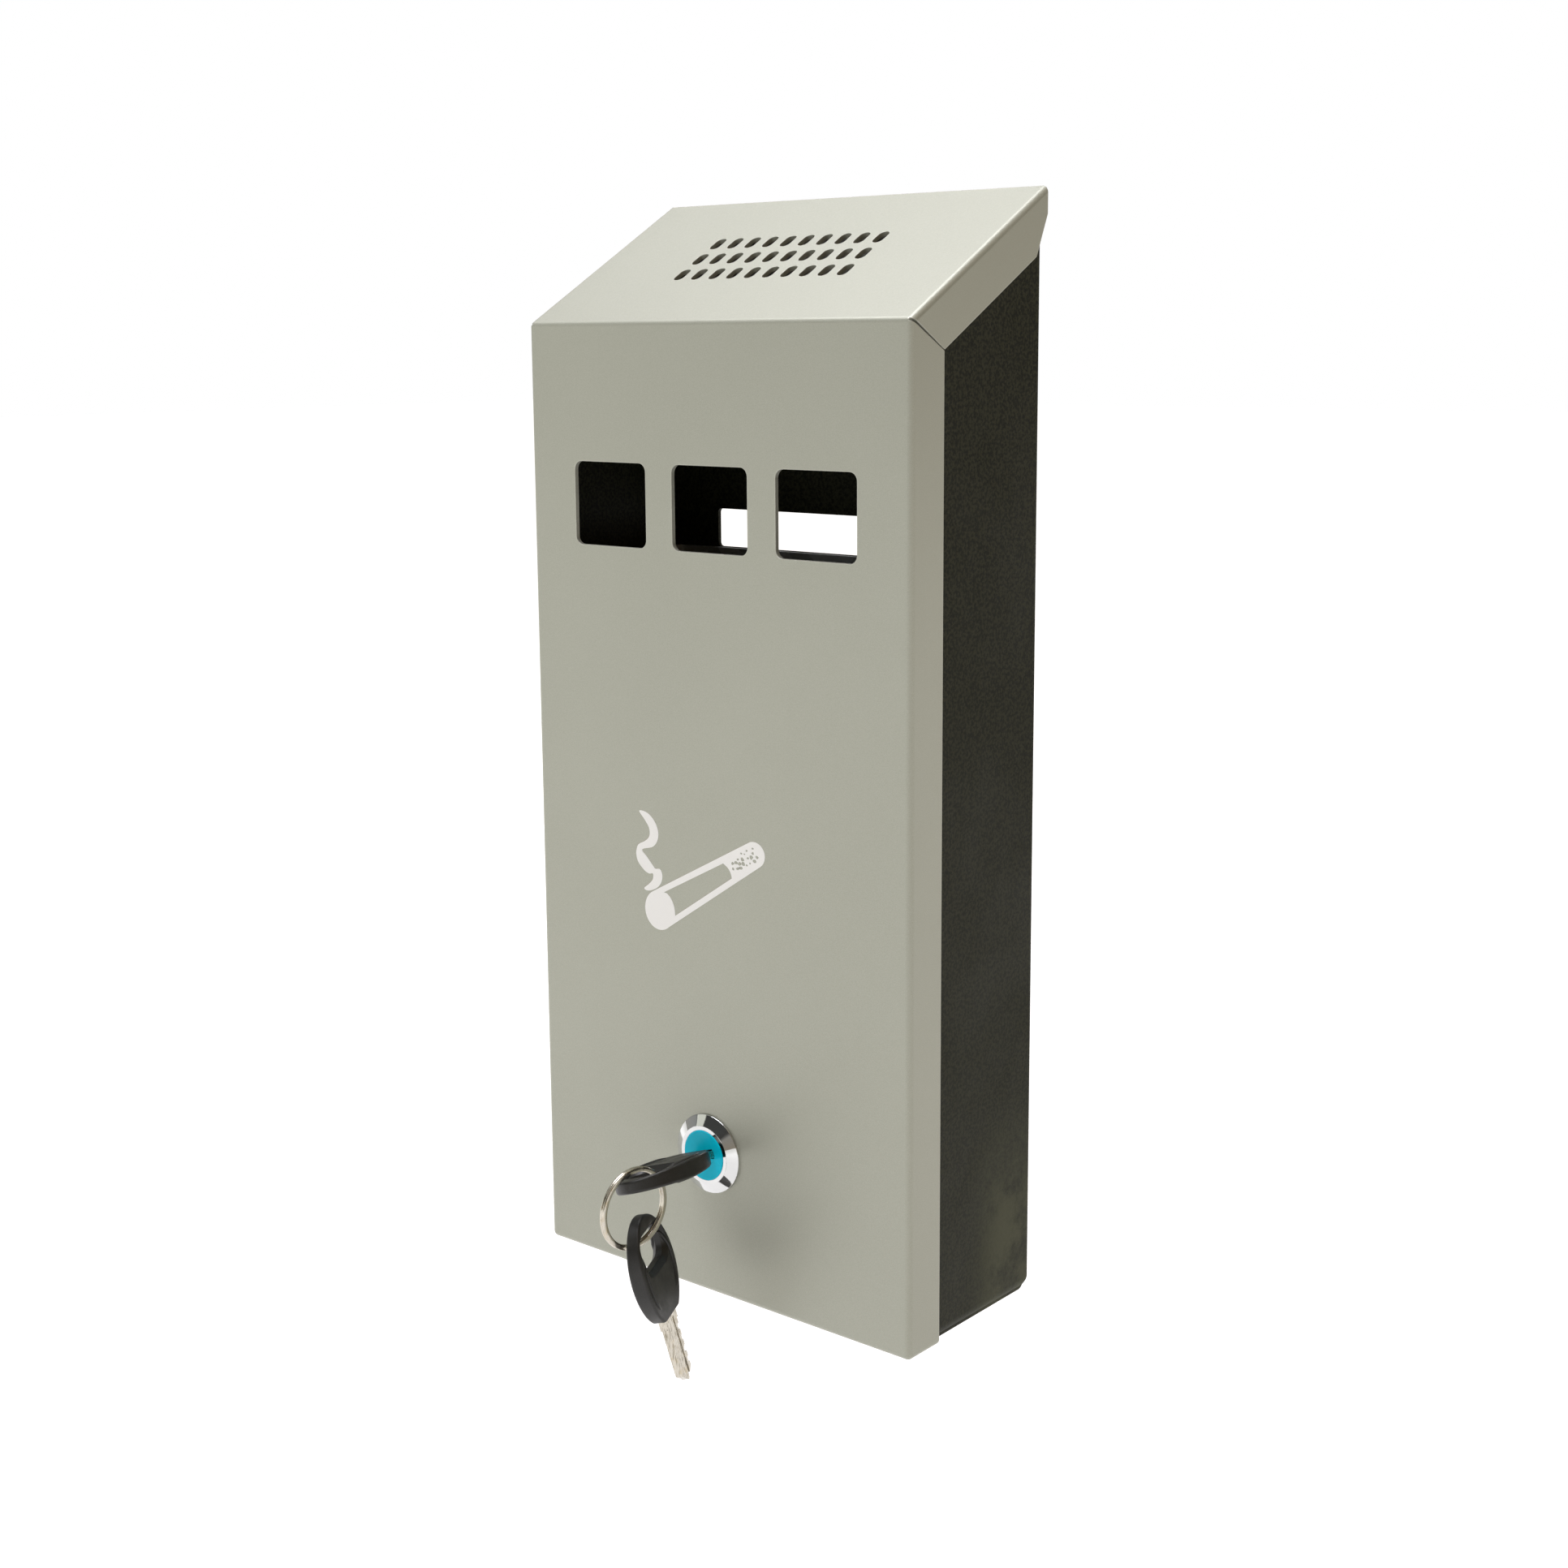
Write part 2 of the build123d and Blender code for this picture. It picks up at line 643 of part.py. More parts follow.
def lock_face_insert():
    """Coloured disc on the front of the plug."""
    front = LOCK_FACE_Y - INSERT_PROUD
    disc = rod_y(LOCK_X, LOCK_Z, PLUG_HEAD_R, front, LOCK_FACE_Y + INSERT_THICKNESS)
    disc = fillet(disc.edges().group_by(Axis.Y)[0], INSERT_PROUD)
    return disc - keyway(front - SHEET, LOCK_FACE_Y + 2 * INSERT_THICKNESS)


def lock_plug():
    """Turning cylinder with its keyway, a square end for the cam and a screw hole."""
    head_front = LOCK_FACE_Y + INSERT_THICKNESS
    plug = rod_y(LOCK_X, LOCK_Z, PLUG_HEAD_R, head_front, head_front + PLUG_HEAD_DEPTH)
    plug += rod_y(LOCK_X, LOCK_Z, PLUG_R, head_front, CAM_FRONT_Y)
    plug += square_end(PLUG_SQUARE, CAM_FRONT_Y, CAM_FRONT_Y + PLUG_SQUARE_LENGTH)
    plug -= keyway(head_front - SHEET, KEYWAY_END_Y)
    return plug - rod_y(LOCK_X, LOCK_Z, CAM_SCREW_R, SCREW_END_Y, CAM_REAR_Y + SHEET)


def square_end(side, y0, y1):
    """Square bar on the lock's axis, turned with the key."""
    bar = Box(side, abs(y1 - y0), side)
    return Pos(LOCK_X, (y0 + y1) / 2, LOCK_Z) * Rot(0, -KEY_TURN, 0) * bar


def lock_washer():
    """Washer between the nut and the cover."""
    start = FRONT_Y + SHEET
    end = start + WASHER_THICKNESS
    ring = rod_y(LOCK_X, LOCK_Z, WASHER_R, start, end)
    clear = 2 * LOCK_HOLE_CLEAR
    return ring - double_d(HOUSING_R + LOCK_HOLE_CLEAR, HOUSING_FLATS + clear, start, end)


def lock_nut():
    """Hexagon nut that clamps the housing in the cover."""
    start = FRONT_Y + SHEET + WASHER_THICKNESS
    plane = Plane((LOCK_X, start, LOCK_Z), x_dir=(1, 0, 0), z_dir=(0, 1, 0))
    hexagon = RegularPolygon(NUT_ACROSS_FLATS / 2, 6, major_radius=False)
    nut = extrude(plane * hexagon, NUT_THICKNESS)
    return nut - rod_y(LOCK_X, LOCK_Z, HOUSING_R, start - SHEET, start + 2 * NUT_THICKNESS)


def cam():
    """Locking tongue, which points to the left and turns down behind the catch."""
    plane = Plane(
        (LOCK_X, CAM_FRONT_Y, LOCK_Z),
        x_dir=(-cos(radians(KEY_TURN)), 0, -sin(radians(KEY_TURN))),
        z_dir=(0, 1, 0),
    )
    arm = Pos(CAM_LENGTH / 2, 0) * Rectangle(CAM_LENGTH, CAM_WIDTH)
    arm = fillet(arm.vertices().group_by(Axis.X)[-1], CAM_WIDTH / 4)
    outline = Circle(CAM_HUB_R) + arm - Rectangle(PLUG_SQUARE, PLUG_SQUARE)
    return extrude(plane * outline, CAM_THICKNESS)


def cam_washer():
    """Washer under the cam screw's head."""
    start = CAM_FRONT_Y + PLUG_SQUARE_LENGTH
    end = start + CAM_WASHER_THICKNESS
    ring = rod_y(LOCK_X, LOCK_Z, CAM_WASHER_R, start, end)
    return ring - rod_y(LOCK_X, LOCK_Z, CAM_SCREW_R, start - SHEET, end + SHEET)


def cam_screw():
    """Pan-head screw that holds the cam on the plug."""
    seat = CAM_FRONT_Y + PLUG_SQUARE_LENGTH + CAM_WASHER_THICKNESS
    end = seat + CAM_SCREW_HEAD
    screw = rod_y(LOCK_X, LOCK_Z, CAM_SCREW_R, SCREW_END_Y, seat)
    head = rod_y(LOCK_X, LOCK_Z, CAM_SCREW_HEAD_R, seat, end)
    head = fillet(head.edges().group_by(Axis.Y)[-1], CAM_SCREW_CROWN)
    recess = Box(CAM_SCREW_HEAD_R, CAM_SCREW_HEAD, LEAF) + Box(LEAF, CAM_SCREW_HEAD, CAM_SCREW_HEAD_R)
    return screw + head - Pos(LOCK_X, end, LOCK_Z) * recess


# ---------------------------------------------------------------- keys and ring
# A key is drawn flat: X across its width, Y from the bow towards the tip, Z through its
# thickness. Y = 0 is the shoulder that stops against the lock.


def bow_end_y():
    """Far end of the bow in the key's own frame."""
    return -KEY_SHOULDER - BOW_LENGTH


def key_bow():
    """Moulded grip: a long oval with crowned faces and a slot for the ring."""
    neck_y = -KEY_SHOULDER
    end_y = bow_end_y()
    flat = sqrt(1 - (BOW_NECK_WIDTH / BOW_WIDTH) ** 2)
    half_long = BOW_LENGTH / (1 + flat)
    oval = Pos(0, end_y + half_long) * Ellipse(BOW_WIDTH / 2, half_long)
    oval -= Pos(0, neck_y + BOW_LENGTH / 2) * Rectangle(BOW_WIDTH, BOW_LENGTH)
    blank = extrude(oval, BOW_THICKNESS, both=True)
    middle_y = (neck_y + end_y) / 2
    upper = ThreePointArc(
        (end_y, BOW_END_THICKNESS / 2), (middle_y, BOW_THICKNESS / 2), (neck_y, BOW_NECK_THICKNESS / 2)
    )
    lower = ThreePointArc(
        (neck_y, -BOW_NECK_THICKNESS / 2), (middle_y, -BOW_THICKNESS / 2), (end_y, -BOW_END_THICKNESS / 2)
    )
    sides = [
        Line(upper @ 1, lower @ 0),
        Line(lower @ 1, upper @ 0),
    ]
    section = make_face([upper, sides[0], lower, sides[1]])
    crown = extrude(Plane.YZ * section, BOW_WIDTH, both=True)
    bow = blank & crown
    bow = fillet(bow.edges().filter_by(GeomType.LINE, reverse=True), BOW_EDGE)
    slot_y = end_y + BOW_BAR + BOW_SLOT_WIDTH / 2
    slot = Pos(0, slot_y) * RectangleRounded(BOW_SLOT_LENGTH, BOW_SLOT_WIDTH, BOW_SLOT_CORNER)
    bow -= extrude(slot, BOW_THICKNESS, both=True)
    for face in (1, -1):
        mouth = Pos(0, 0, face * BOW_SLOT_LAND / 2) * slot
        bow -= extrude(mouth, BOW_THICKNESS / 2, dir=(0, 0, face), taper=-BOW_SLOT_TAPER)
    return bow - blade_tang()


def blade_tang():
    """Part of the blade moulded into the bow."""
    tang = Box(BLADE_TANG_WIDTH, BLADE_TANG, BLADE_THICKNESS)
    return Pos(0, -KEY_SHOULDER - BLADE_TANG / 2) * tang


def key_blade():
    """Nickel-plated blade with a wide shoulder, bitting along one edge and a milled groove."""
    half = BLADE_WIDTH / 2
    shoulder = Pos(0, -KEY_SHOULDER / 2) * Rectangle(KEY_SHOULDER_WIDTH, KEY_SHOULDER)
    strip = Polygon(
        (-half, 0),
        (half, 0),
        (half, BLADE_LENGTH - BLADE_TIP),
        (0, BLADE_LENGTH),
        (-half, BLADE_LENGTH - BLADE_TIP),
        align=None,
    )
    outline = shoulder + strip
    for index, depth in enumerate(BIT_DEPTHS):
        y = BIT_START + BIT_PITCH * index
        notch = Polygon(
            (half + SHEET, y - BIT_WIDTH),
            (half - depth, y - BIT_WIDTH / 3),
            (half - depth, y + BIT_WIDTH / 3),
            (half + SHEET, y + BIT_WIDTH),
            align=None,
        )
        outline -= notch
    blade = extrude(outline, BLADE_THICKNESS / 2, both=True)
    groove = Box(BLADE_GROOVE_WIDTH, BLADE_LENGTH + KEY_SHOULDER, 2 * BLADE_GROOVE_DEPTH)
    for face, side in ((1, -1), (-1, 1)):
        x = side * BLADE_WIDTH / 6
        blade -= Pos(x, BLADE_LENGTH / 2, face * BLADE_THICKNESS / 2) * groove
    return blade + blade_tang()


def lock_key_plane():
    """Frame of the key in the lock."""
    turn = radians(KEY_TURN)
    return Plane(
        (LOCK_X, LOCK_FACE_Y - INSERT_PROUD, LOCK_Z),
        x_dir=(cos(turn), 0, sin(turn)),
        z_dir=(-sin(turn), 0, cos(turn)),
    )


def ring_centre():
    """Middle of the key ring, hanging on the end bar of the key in the lock."""
    bar_y = LOCK_FACE_Y - INSERT_PROUD + bow_end_y() + BOW_BAR / 2
    return Vector(LOCK_X, bar_y + RING_OFFSET_Y, LOCK_Z + RING_FROM_LOCK_Z)


def ring_direction():
    """Level direction that lies in the ring's plane."""
    return Vector(sin(radians(RING_YAW)), cos(radians(RING_YAW)), 0)


def split_ring():
    """Wire ring that joins the two keys."""
    along = ring_direction()
    normal = along.cross(Vector(0, 0, 1))
    plane = Plane(ring_centre(), x_dir=along, z_dir=normal)
    return plane * Torus(RING_R, RING_WIRE_R)


def hang_point():
    """Point of the ring's wire that carries the spare key, a little past the ring's bottom."""
    angle = radians(SPARE_RING_ANGLE)
    outwards = ring_direction() * sin(angle) - Vector(0, 0, cos(angle))
    return ring_centre() + outwards * RING_R


def spare_key_plane():
    """Frame of the spare key, hanging from the ring."""
    yaw = radians(SPARE_YAW)
    down = Vector(tan(radians(SPARE_LEAN_SIDE)), tan(radians(SPARE_LEAN_BACK)), -1).normalized()
    level = Vector(sin(yaw), cos(yaw), 0)
    normal = level.cross(down).normalized()
    across = down.cross(normal).normalized()
    bar_to_wire = RING_WIRE_R + SPARE_HANG_GAP
    origin = hang_point() - down * (bow_end_y() + BOW_BAR + bar_to_wire)
    return Plane(origin, x_dir=across, z_dir=normal)


def main():
    lock_key = lock_key_plane()
    spare_key = spare_key_plane()
    nodes = {
        "front_cover": front_cover(),
        "back_body": back_body(),
        "bottom_panel": bottom_panel(),
        "strike_bracket": strike_bracket(),
        "strike_rivets": strike_rivets(),
        "body_hinge_leaf": body_hinge_leaf(),
        "body_hinge_rivets": body_hinge_rivets(),
        "cover_hinge_leaf": cover_hinge_leaf(),
        "hinge_pin": hinge_pin(),
        "inner_bucket": inner_bucket(),
        "lock_housing": lock_housing(),
        "lock_washer": lock_washer(),
        "lock_nut": lock_nut(),
        "lock_plug": lock_plug(),
        "lock_face_insert": lock_face_insert(),
        "cam": cam(),
        "cam_washer": cam_washer(),
        "cam_screw": cam_screw(),
        "key_blade": lock_key * key_blade(),
        "key_bow": lock_key * key_bow(),
        "split_ring": split_ring(),
        "spare_key_blade": spare_key * key_blade(),
        "spare_key_bow": spare_key * key_bow(),
    }
    os.makedirs("parts", exist_ok=True)
    for name, shape in nodes.items():
        export_step(shape, f"parts/{name}.step")


main()
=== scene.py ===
import json
import math
import random

import bmesh
import bpy
import numpy as np
from mathutils import Matrix, Vector
from mathutils.bvhtree import BVHTree


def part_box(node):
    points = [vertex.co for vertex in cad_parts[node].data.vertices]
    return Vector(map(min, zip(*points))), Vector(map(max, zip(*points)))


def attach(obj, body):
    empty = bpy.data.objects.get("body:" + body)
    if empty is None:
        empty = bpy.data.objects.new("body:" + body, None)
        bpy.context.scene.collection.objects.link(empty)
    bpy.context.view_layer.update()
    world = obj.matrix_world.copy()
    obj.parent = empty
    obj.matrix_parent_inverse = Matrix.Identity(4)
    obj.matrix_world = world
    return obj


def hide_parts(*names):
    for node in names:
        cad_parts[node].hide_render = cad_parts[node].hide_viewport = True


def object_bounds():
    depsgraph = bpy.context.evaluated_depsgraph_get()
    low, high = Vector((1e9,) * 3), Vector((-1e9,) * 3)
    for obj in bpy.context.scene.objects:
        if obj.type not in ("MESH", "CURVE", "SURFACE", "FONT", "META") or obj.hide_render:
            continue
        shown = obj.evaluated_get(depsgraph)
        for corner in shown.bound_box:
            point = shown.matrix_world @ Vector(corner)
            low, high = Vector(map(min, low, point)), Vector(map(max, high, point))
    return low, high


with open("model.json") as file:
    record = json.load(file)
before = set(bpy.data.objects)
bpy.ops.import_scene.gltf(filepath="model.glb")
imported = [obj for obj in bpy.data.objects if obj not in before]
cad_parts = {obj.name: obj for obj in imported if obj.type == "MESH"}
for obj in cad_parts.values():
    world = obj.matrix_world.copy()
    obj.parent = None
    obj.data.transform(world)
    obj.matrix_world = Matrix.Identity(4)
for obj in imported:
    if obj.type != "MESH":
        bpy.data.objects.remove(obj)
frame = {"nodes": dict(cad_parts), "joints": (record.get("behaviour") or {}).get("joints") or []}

CAD_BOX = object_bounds()
MM = 0.001
NODES = frame["nodes"]
JOINTS = {j["name"]: j for j in frame["joints"]}


# ---------------------------------------------------------------- helpers


def link(obj):
    bpy.context.scene.collection.objects.link(obj)
    return obj


def smooth(mesh, angle=35.0):
    """Smooth shading, with edges kept crisp above the angle."""
    mesh.polygons.foreach_set("use_smooth", [True] * len(mesh.polygons))
    bm = bmesh.new()
    bm.from_mesh(mesh)
    limit = math.radians(angle)
    for e in bm.edges:
        e.smooth = len(e.link_faces) == 2 and e.calc_face_angle(0.0) < limit
    bm.to_mesh(mesh)
    bm.free()


def mesh_object(name, verts, faces, angle=35.0):
    mesh = bpy.data.meshes.new(name)
    mesh.from_pydata([tuple(v) for v in verts], [], faces)
    mesh.update()
    bm = bmesh.new()
    bm.from_mesh(mesh)
    bmesh.ops.recalc_face_normals(bm, faces=bm.faces)
    bm.to_mesh(mesh)
    bm.free()
    smooth(mesh, angle)
    return link(bpy.data.objects.new(name, mesh))


def tube_faces(first, rows, sides):
    """Faces of a closed tube whose rows of vertices follow one another from `first`."""
    faces = []
    for i in range(rows - 1):
        for k in range(sides):
            a = first + i * sides + k
            b = first + i * sides + (k + 1) % sides
            faces.append((a, b, b + sides, a + sides))
    faces.append(tuple(first + k for k in range(sides)))
    faces.append(tuple(first + (rows - 1) * sides + k for k in range(sides)))
    return faces


class Mat:
    """A node material with short calls for its nodes."""

    def __init__(self, name):
        self.mat = bpy.data.materials.new(name)
        self.mat.use_nodes = True
        self.tree = self.mat.node_tree
        self.bsdf = self.tree.nodes["Principled BSDF"]
        self.coord = self.tree.nodes.new("ShaderNodeTexCoord").outputs["Object"]

    def node(self, kind, **sockets):
        n = self.tree.nodes.new(kind)
        for key, value in sockets.items():
            self.put(n, key.replace("_", " "), value)
        return n

    def put(self, node, key, value):
        socket = node.inputs[int(key) if key.isdigit() else key]
        if isinstance(value, bpy.types.NodeSocket):
            self.tree.links.new(value, socket)
        else:
            socket.default_value = value

    def set(self, key, value):
        self.put(self.bsdf, key, value)

    def noise(self, scale, detail=2.0, rough=0.5, stretch=None, distortion=0.0):
        vector = self.coord
        if stretch:
            m = self.tree.nodes.new("ShaderNodeMapping")
            self.tree.links.new(vector, m.inputs["Vector"])
            m.inputs["Scale"].default_value = stretch
            vector = m.outputs["Vector"]
        n = self.node("ShaderNodeTexNoise", Vector=vector, Scale=scale, Detail=detail,
                      Roughness=rough, Distortion=distortion)
        return n.outputs["Fac"]

    def voronoi(self, scale, feature="F1", output="Distance"):
        n = self.tree.nodes.new("ShaderNodeTexVoronoi")
        n.feature = feature
        self.put(n, "Vector", self.coord)
        self.put(n, "Scale", scale)
        return n.outputs[output]

    def math(self, operation, a, b=0.0, c=0.0, clamp=False):
        n = self.tree.nodes.new("ShaderNodeMath")
        n.operation = operation
        n.use_clamp = clamp
        for i, v in enumerate((a, b, c)):
            self.put(n, str(i), v)
        return n.outputs[0]

    def span(self, value, a, b, c=0.0, d=1.0, smoothly=True):
        """value going from a to b becomes c to d."""
        n = self.tree.nodes.new("ShaderNodeMapRange")
        n.interpolation_type = "SMOOTHSTEP" if smoothly else "LINEAR"
        for i, v in enumerate((value, a, b, c, d)):
            self.put(n, str(i), v)
        return n.outputs["Result"]

    def mix(self, fac, a, b):
        n = self.tree.nodes.new("ShaderNodeMix")
        n.data_type = "RGBA"
        for i, v in ((0, fac), (6, a), (7, b)):
            self.put(n, str(i), v if i == 0 or isinstance(v, bpy.types.NodeSocket) else (*v, 1.0))
        return n.outputs[2]

    def axis(self, name):
        n = self.node("ShaderNodeSeparateXYZ", Vector=self.coord)
        return n.outputs[name]

    def bump(self, height, distance, strength=1.0, normal=None):
        n = self.node("ShaderNodeBump", Height=height, Distance=distance, Strength=strength)
        if normal is not None:
            self.put(n, "Normal", normal)
        return n.outputs["Normal"]

    def rounded(self, radius):
        n = self.tree.nodes.new("ShaderNodeBevel")
        n.samples = 4
        n.inputs["Radius"].default_value = radius
        return n.outputs["Normal"]

    def edge(self, radius, low=0.02, high=0.25):
        """1 along outer edges and 0 on flats: the mask of the painted edge highlights."""
        geometry = self.tree.nodes.new("ShaderNodeNewGeometry")
        n = self.tree.nodes.new("ShaderNodeVectorMath")
        n.operation = "DOT_PRODUCT"
        self.put(n, "0", self.rounded(radius))
        self.put(n, "1", geometry.outputs["True Normal"])
        away = self.math("SUBTRACT", 1.0, n.outputs["Value"])
        return self.span(away, low, high)


# ---------------------------------------------------------------- materials


def silver_paint():
    """Satin silver-grey powder coat: fine orange peel, flake, and painted highlights along the
    thin edges.
    """
    m = Mat("silver_paint")
    flake = m.noise(5200.0, 1.0, 0.4)
    peel = m.noise(1500.0, 3.0, 0.55)
    cloud = m.noise(14.0, 3.0, 0.5)
    base = m.mix(cloud, (0.336, 0.345, 0.286), (0.374, 0.384, 0.322))
    base = m.mix(m.span(flake, 0.35, 0.72, 0.0, 0.16), base, (0.66, 0.66, 0.60))
    # painted highlight: the colour is made lighter along the outer edges
    base = m.mix(m.math("MULTIPLY", m.edge(0.0007), 0.45), base, (0.66, 0.66, 0.60))
    m.set("Base Color", base)
    m.set("Metallic", 0.38)
    m.set("Roughness", m.span(peel, 0.25, 0.75, 0.40, 0.50))
    m.set("IOR", 1.46)
    m.set("Coat Weight", 0.12)
    m.set("Coat Roughness", 0.35)
    height = m.math("ADD", m.math("MULTIPLY", peel, 0.8), m.math("MULTIPLY", flake, 0.2))
    m.set("Normal", m.bump(height, 0.00003, 0.5, m.rounded(0.00025)))
    return m.mat


def black_paint():
    """Fine-textured black powder coat, lighter low down from painted floor bounce, with a patchy
    painted sheen low down towards the wall.
    """
    m = Mat("black_paint")
    grain = m.noise(1500.0, 3.0, 0.62)
    speck = m.voronoi(900.0)
    cloud = m.noise(24.0, 4.0, 0.6)
    y = m.axis("Y")
    z = m.axis("Z")
    speckle = m.noise(1250.0, 2.0, 0.6)
    base = m.mix(m.span(speckle, 0.38, 0.62), (0.0060, 0.0066, 0.0028), (0.0240, 0.0245, 0.0120))
    # painted floor bounce: the colour gets lighter towards the bottom
    low = m.span(z, 0.10, -0.15, 0.0, 0.30, smoothly=False)
    base = m.mix(low, base, (0.052, 0.055, 0.038))
    # painted reflection: a patchy lighter sheen low down towards the wall stands in for light
    # reflected from the floor; the same mask also raises the roughness there
    near_floor = m.span(z, -0.088, -0.130)
    near_wall = m.span(y, -0.036, -0.016)
    painted_sheen_patch = m.math("MULTIPLY", near_floor, near_wall)
    painted_sheen_patch = m.math("MULTIPLY", painted_sheen_patch, m.span(m.noise(48.0, 7.0, 0.72), 0.28, 0.56))
    base = m.mix(m.math("MULTIPLY", painted_sheen_patch, 0.72), base, (0.115, 0.120, 0.085))
    # painted highlight: the colour is made lighter along the outer edges
    base = m.mix(m.math("MULTIPLY", m.edge(0.0006), 0.25), base, (0.07, 0.07, 0.06))
    m.set("Base Color", base)
    rough = m.span(cloud, 0.3, 0.7, 0.50, 0.62)
    m.set("Roughness", m.math("ADD", rough, m.math("MULTIPLY", painted_sheen_patch, 0.2)))
    m.set("Specular IOR Level", 0.12)
    height = m.math("SUBTRACT", grain, m.math("MULTIPLY", speck, 0.3))
    m.set("Normal", m.bump(height, 0.00010, 0.6, m.rounded(0.0003)))
    return m.mat


def galvanised():
    """Dull zinc-coated sheet with soft spangle and ash dulling the inside."""
    m = Mat("galvanised_sheet")
    spangle = m.voronoi(170.0, output="Color")
    tone = m.node("ShaderNodeSeparateColor", Color=spangle).outputs["Red"]
    fine = m.noise(900.0, 3.0, 0.6)
    streak = m.noise(60.0, 4.0, 0.6, stretch=(1.0, 1.0, 0.12))
    base = m.mix(m.span(tone, 0.0, 1.0), (0.36, 0.37, 0.375), (0.52, 0.53, 0.535))
    base = m.mix(m.span(streak, 0.55, 0.8, 0.0, 0.5), base, (0.30, 0.295, 0.28))
    m.set("Base Color", base)
    m.set("Metallic", 0.85)
    rough = m.span(tone, 0.0, 1.0, 0.38, 0.55)
    m.set("Roughness", m.math("ADD", rough, m.math("MULTIPLY", fine, 0.08)))
    m.set("Normal", m.bump(fine, 0.00003, 0.4, m.rounded(0.0002)))
    return m.mat


def zinc_steel():
    """Bright zinc plate with a faint blue and straw passivate."""
    m = Mat("zinc_plated_steel")
    tint = m.noise(130.0, 3.0, 0.5, distortion=0.6)
    drawn = m.noise(1400.0, 2.0, 0.5, stretch=(0.06, 1.0, 1.0))
    worn = m.noise(500.0, 4.0, 0.6)
    base = m.mix(m.span(tint, 0.35, 0.65), (0.56, 0.59, 0.62), (0.64, 0.61, 0.52))
    base = m.mix(m.span(worn, 0.62, 0.8, 0.0, 0.6), base, (0.38, 0.37, 0.35))
    m.set("Base Color", base)
    m.set("Metallic", 1.0)
    m.set("Roughness", m.span(worn, 0.2, 0.8, 0.24, 0.44))
    height = m.math("ADD", drawn, m.math("MULTIPLY", worn, 0.4))
    m.set("Normal", m.bump(height, 0.00003, 0.35, m.rounded(0.00015)))
    return m.mat


def chrome():
    """Polished chrome plate with hairline wiping marks."""
    m = Mat("chrome_plate")
    wipe = m.noise(2600.0, 2.0, 0.5, stretch=(1.0, 1.0, 0.05))
    haze = m.noise(220.0, 3.0, 0.6)
    m.set("Base Color", m.mix(haze, (0.56, 0.57, 0.57), (0.66, 0.67, 0.67)))
    m.set("Metallic", 1.0)
    rough = m.span(wipe, 0.55, 0.80, 0.045, 0.13)
    m.set("Roughness", m.math("ADD", rough, m.span(haze, 0.5, 0.8, 0.0, 0.05)))
    m.set("Normal", m.bump(wipe, 0.000004, 0.3, m.rounded(0.00025)))
    return m.mat


def plug_metal():
    """Die-cast zinc with fine pitting."""
    m = Mat("die_cast_zinc")
    pits = m.voronoi(2400.0)
    grain = m.noise(1800.0, 3.0, 0.6)
    base = m.mix(m.span(grain, 0.3, 0.7), (0.42, 0.42, 0.41), (0.56, 0.56, 0.55))
    m.set("Base Color", m.mix(m.span(pits, 0.0, 0.18, 0.6, 0.0), base, (0.22, 0.22, 0.21)))
    m.set("Metallic", 0.9)
    m.set("Roughness", m.span(grain, 0.3, 0.7, 0.34, 0.50))
    m.set("Normal", m.bump(grain, 0.00002, 0.5, m.rounded(0.0002)))
    return m.mat


def teal_plastic():
    """Glossy teal moulding of the lock's face."""
    m = Mat("teal_moulding")
    swirl = m.noise(260.0, 3.0, 0.5, distortion=0.8)
    fine = m.noise(2600.0, 2.0, 0.5)
    m.set("Base Color", m.mix(swirl, (0.001, 0.520, 0.700), (0.002, 0.620, 0.860)))
    m.set("Roughness", m.span(fine, 0.3, 0.7, 0.16, 0.26))
    m.set("Specular IOR Level", 0.10)
    m.set("Coat Weight", 0.07)
    m.set("Coat Roughness", 0.06)
    m.set("Normal", m.bump(swirl, 0.00002, 0.3, m.rounded(0.0002)))
    return m.mat


def black_plastic():
    """Moulded black plastic, spark-textured, polished where fingers rub."""
    m = Mat("black_key_plastic")
    spark = m.noise(3600.0, 3.0, 0.65)
    rub = m.noise(180.0, 3.0, 0.6)
    base = m.mix(m.span(spark, 0.3, 0.7), (0.0085, 0.0085, 0.0075), (0.017, 0.017, 0.015))
    # painted highlight: the colour is made lighter along the outer edges
    base = m.mix(m.math("MULTIPLY", m.edge(0.0005), 0.5), base, (0.075, 0.075, 0.068))
    m.set("Base Color", base)
    m.set("Roughness", m.span(rub, 0.3, 0.7, 0.36, 0.52))
    m.set("Specular IOR Level", 0.45)
    m.set("Normal", m.bump(spark, 0.00004, 0.45, m.rounded(0.0003)))
    return m.mat


def nickel(name, wear):
    """Nickel plate on brass, drawn lengthwise, warmer where it has rubbed thin."""
    m = Mat(name)
    rub = m.noise(420.0, 4.0, 0.6)
    drawn = m.noise(2200.0, 3.0, 0.6, stretch=(1.0, 1.0, 0.10))
    stain = m.noise(900.0, 3.0, 0.6, stretch=(1.0, 1.0, 0.35))
    base = m.mix(m.span(rub, 0.5, 0.75), (0.56, 0.53, 0.46), (0.50, 0.43, 0.30))
    base = m.mix(m.span(drawn, 0.45, 0.70, 0.0, 0.78 * wear), base, (0.20, 0.175, 0.12))
    base = m.mix(m.span(stain, 0.55, 0.72, 0.0, 0.50 * wear), base, (0.19, 0.17, 0.12))
    m.set("Base Color", base)
    m.set("Metallic", 1.0)
    m.set("Roughness", m.span(drawn, 0.30, 0.75, 0.12, 0.22 + 0.16 * wear))
    m.set("Normal", m.bump(drawn, 0.00003, 0.5, m.rounded(0.00025)))
    return m.mat


